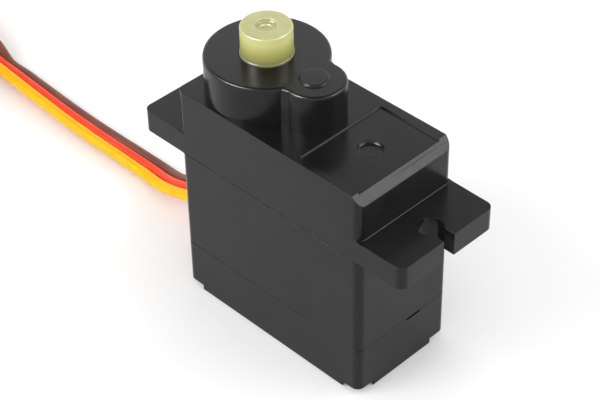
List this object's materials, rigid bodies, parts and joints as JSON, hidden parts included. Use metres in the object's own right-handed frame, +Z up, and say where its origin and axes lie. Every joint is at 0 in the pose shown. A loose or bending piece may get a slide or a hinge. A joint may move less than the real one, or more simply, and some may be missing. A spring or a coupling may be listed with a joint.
{
  "type": "servo motor",
  "caption": "Micro servo motor: geared DC motor in a black plastic case with slotted mounting ears, a pale nylon output shaft and a flat ribbon lead with its connector.",
  "frame": {"origin": "middle of the case's flat base, on the surface it stands on", "axes": "+X along the case, away from the output shaft; -Y one long side; +Z up, along the output shaft"},
  "size_m": [0.0926, 0.0181, 0.0305],
  "materials": {
    "black_plastic": "satin near-black moulded plastic",
    "output_nylon": "pale yellow-green translucent nylon, satin",
    "gear_nylon": "natural white nylon, satin",
    "steel": "bright steel",
    "brass": "bright brass",
    "copper": "enamelled copper wire",
    "magnet": "dark sintered magnet",
    "board": "green solder mask",
    "chip": "black moulded package",
    "ceramic": "tan ceramic",
    "phenolic": "brown phenolic",
    "brown_insulation": "soft brown PVC",
    "red_insulation": "soft red PVC",
    "yellow_insulation": "soft orange-yellow PVC",
    "white_insulation": "soft white PVC"
  },
  "bodies": {
    "casing": {"top_case": "black_plastic", "middle_case": "black_plastic", "bottom_cover": "black_plastic", "case_screw_1": "steel", "case_screw_2": "steel", "case_screw_3": "steel", "case_screw_4": "steel", "idler_pin": "steel", "motor_can": "steel", "motor_bush": "brass", "motor_magnet_1": "magnet", "motor_magnet_2": "magnet", "motor_end_cap": "gear_nylon", "motor_brush_1": "brass", "motor_brush_2": "brass", "sensor_body": "phenolic", "sensor_track": "chip", "sensor_cover": "phenolic", "sensor_pin_1": "steel", "sensor_pin_2": "steel", "sensor_pin_3": "steel", "circuit_board": "board", "control_chip": "chip", "driver_chip": "chip", "capacitor": "ceramic", "resistor_1": "chip", "resistor_2": "chip", "motor_wire_1": "chip", "motor_wire_2": "red_insulation", "sensor_wire_1": "white_insulation", "sensor_wire_2": "board", "sensor_wire_3": "red_insulation", "lead_yellow_run": "yellow_insulation", "lead_red_run": "red_insulation", "lead_brown_run": "brown_insulation", "lead_yellow_tail": "yellow_insulation", "lead_red_tail": "red_insulation", "lead_brown_tail": "brown_insulation", "lead_coil": "red_insulation", "lead_tie": "white_insulation", "connector_housing": "chip", "connector_contact_1": "brass", "connector_contact_2": "brass", "connector_contact_3": "brass"},
    "rotor": {"motor_shaft": "steel", "motor_pinion": "brass", "rotor_core": "steel", "rotor_coil_1": "copper", "rotor_coil_2": "copper", "rotor_coil_3": "copper", "commutator": "copper"},
    "first_gear": {"first_gear": "gear_nylon"},
    "second_gear": {"second_gear": "gear_nylon"},
    "third_gear": {"third_gear": "gear_nylon"},
    "output": {"output_gear": "output_nylon", "sensor_shaft": "gear_nylon", "sensor_wiper": "brass"}
  },
  "joints": [
    {"name": "rotor_spin", "type": "hinge", "parent": "casing", "child": "rotor", "pos_m": [0.00585, 0, 0.0176], "axis": [0, 0, 1], "range_deg": [-14415, 14415]},
    {"name": "first_gear_spin", "type": "hinge", "parent": "casing", "child": "first_gear", "pos_m": [0.00035, 0, 0.0174], "axis": [0, 0, 1], "range_deg": [-3203.33, 3203.33]},
    {"name": "second_gear_spin", "type": "hinge", "parent": "casing", "child": "second_gear", "pos_m": [-0.00565, 0, 0.0191], "axis": [0, 0, 1], "range_deg": [-930, 930]},
    {"name": "third_gear_spin", "type": "hinge", "parent": "casing", "child": "third_gear", "pos_m": [0.00035, 0, 0.0208], "axis": [0, 0, 1], "range_deg": [-270, 270]},
    {"name": "output_spin", "type": "hinge", "parent": "casing", "child": "output", "pos_m": [-0.00565, 0, 0.0235], "axis": [0, 0, 1], "range_deg": [-90, 90]}
  ],
  "couplings": [
    {"joint": "first_gear_spin", "follows": "rotor_spin", "ratio": -0.22222},
    {"joint": "second_gear_spin", "follows": "rotor_spin", "ratio": 0.064516},
    {"joint": "third_gear_spin", "follows": "rotor_spin", "ratio": -0.01873},
    {"joint": "output_spin", "follows": "rotor_spin", "ratio": 0.0062435}
  ]
}
